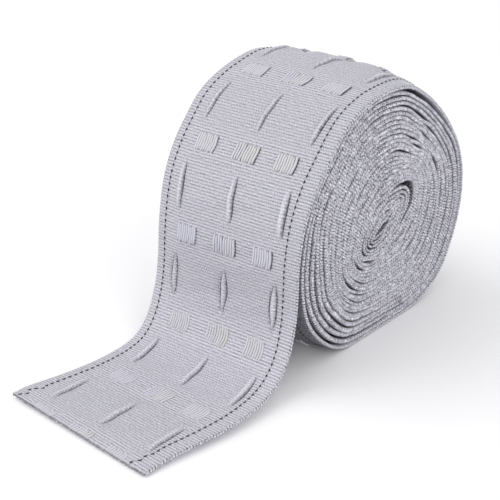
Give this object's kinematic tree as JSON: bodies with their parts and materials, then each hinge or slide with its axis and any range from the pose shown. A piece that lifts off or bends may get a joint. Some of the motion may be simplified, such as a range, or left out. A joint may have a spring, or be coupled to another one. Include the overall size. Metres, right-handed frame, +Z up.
{
  "type": "roll of curtain heading tape",
  "caption": "Roll of stiff woven curtain heading tape, wound on itself, its free end drawn down the front and out flat along the surface.",
  "frame": {"origin": "on the surface that the roll stands on, at the middle of the roll's flat spot", "axes": "+Z up, +X across the tape from its left selvedge to its right one, -Y towards the free end's cut"},
  "size_m": [0.0796, 0.1935, 0.1062],
  "materials": {
    "woven_tape": "matt woven polyester in a lavender white, ribbed across the tape",
    "wound_edges": "matt stacked selvedges of the same woven polyester, looped weft showing"
  },
  "bodies": {
    "root": {"wound_roll": "wound_edges", "loose_end": "woven_tape"}
  },
  "joints": []
}
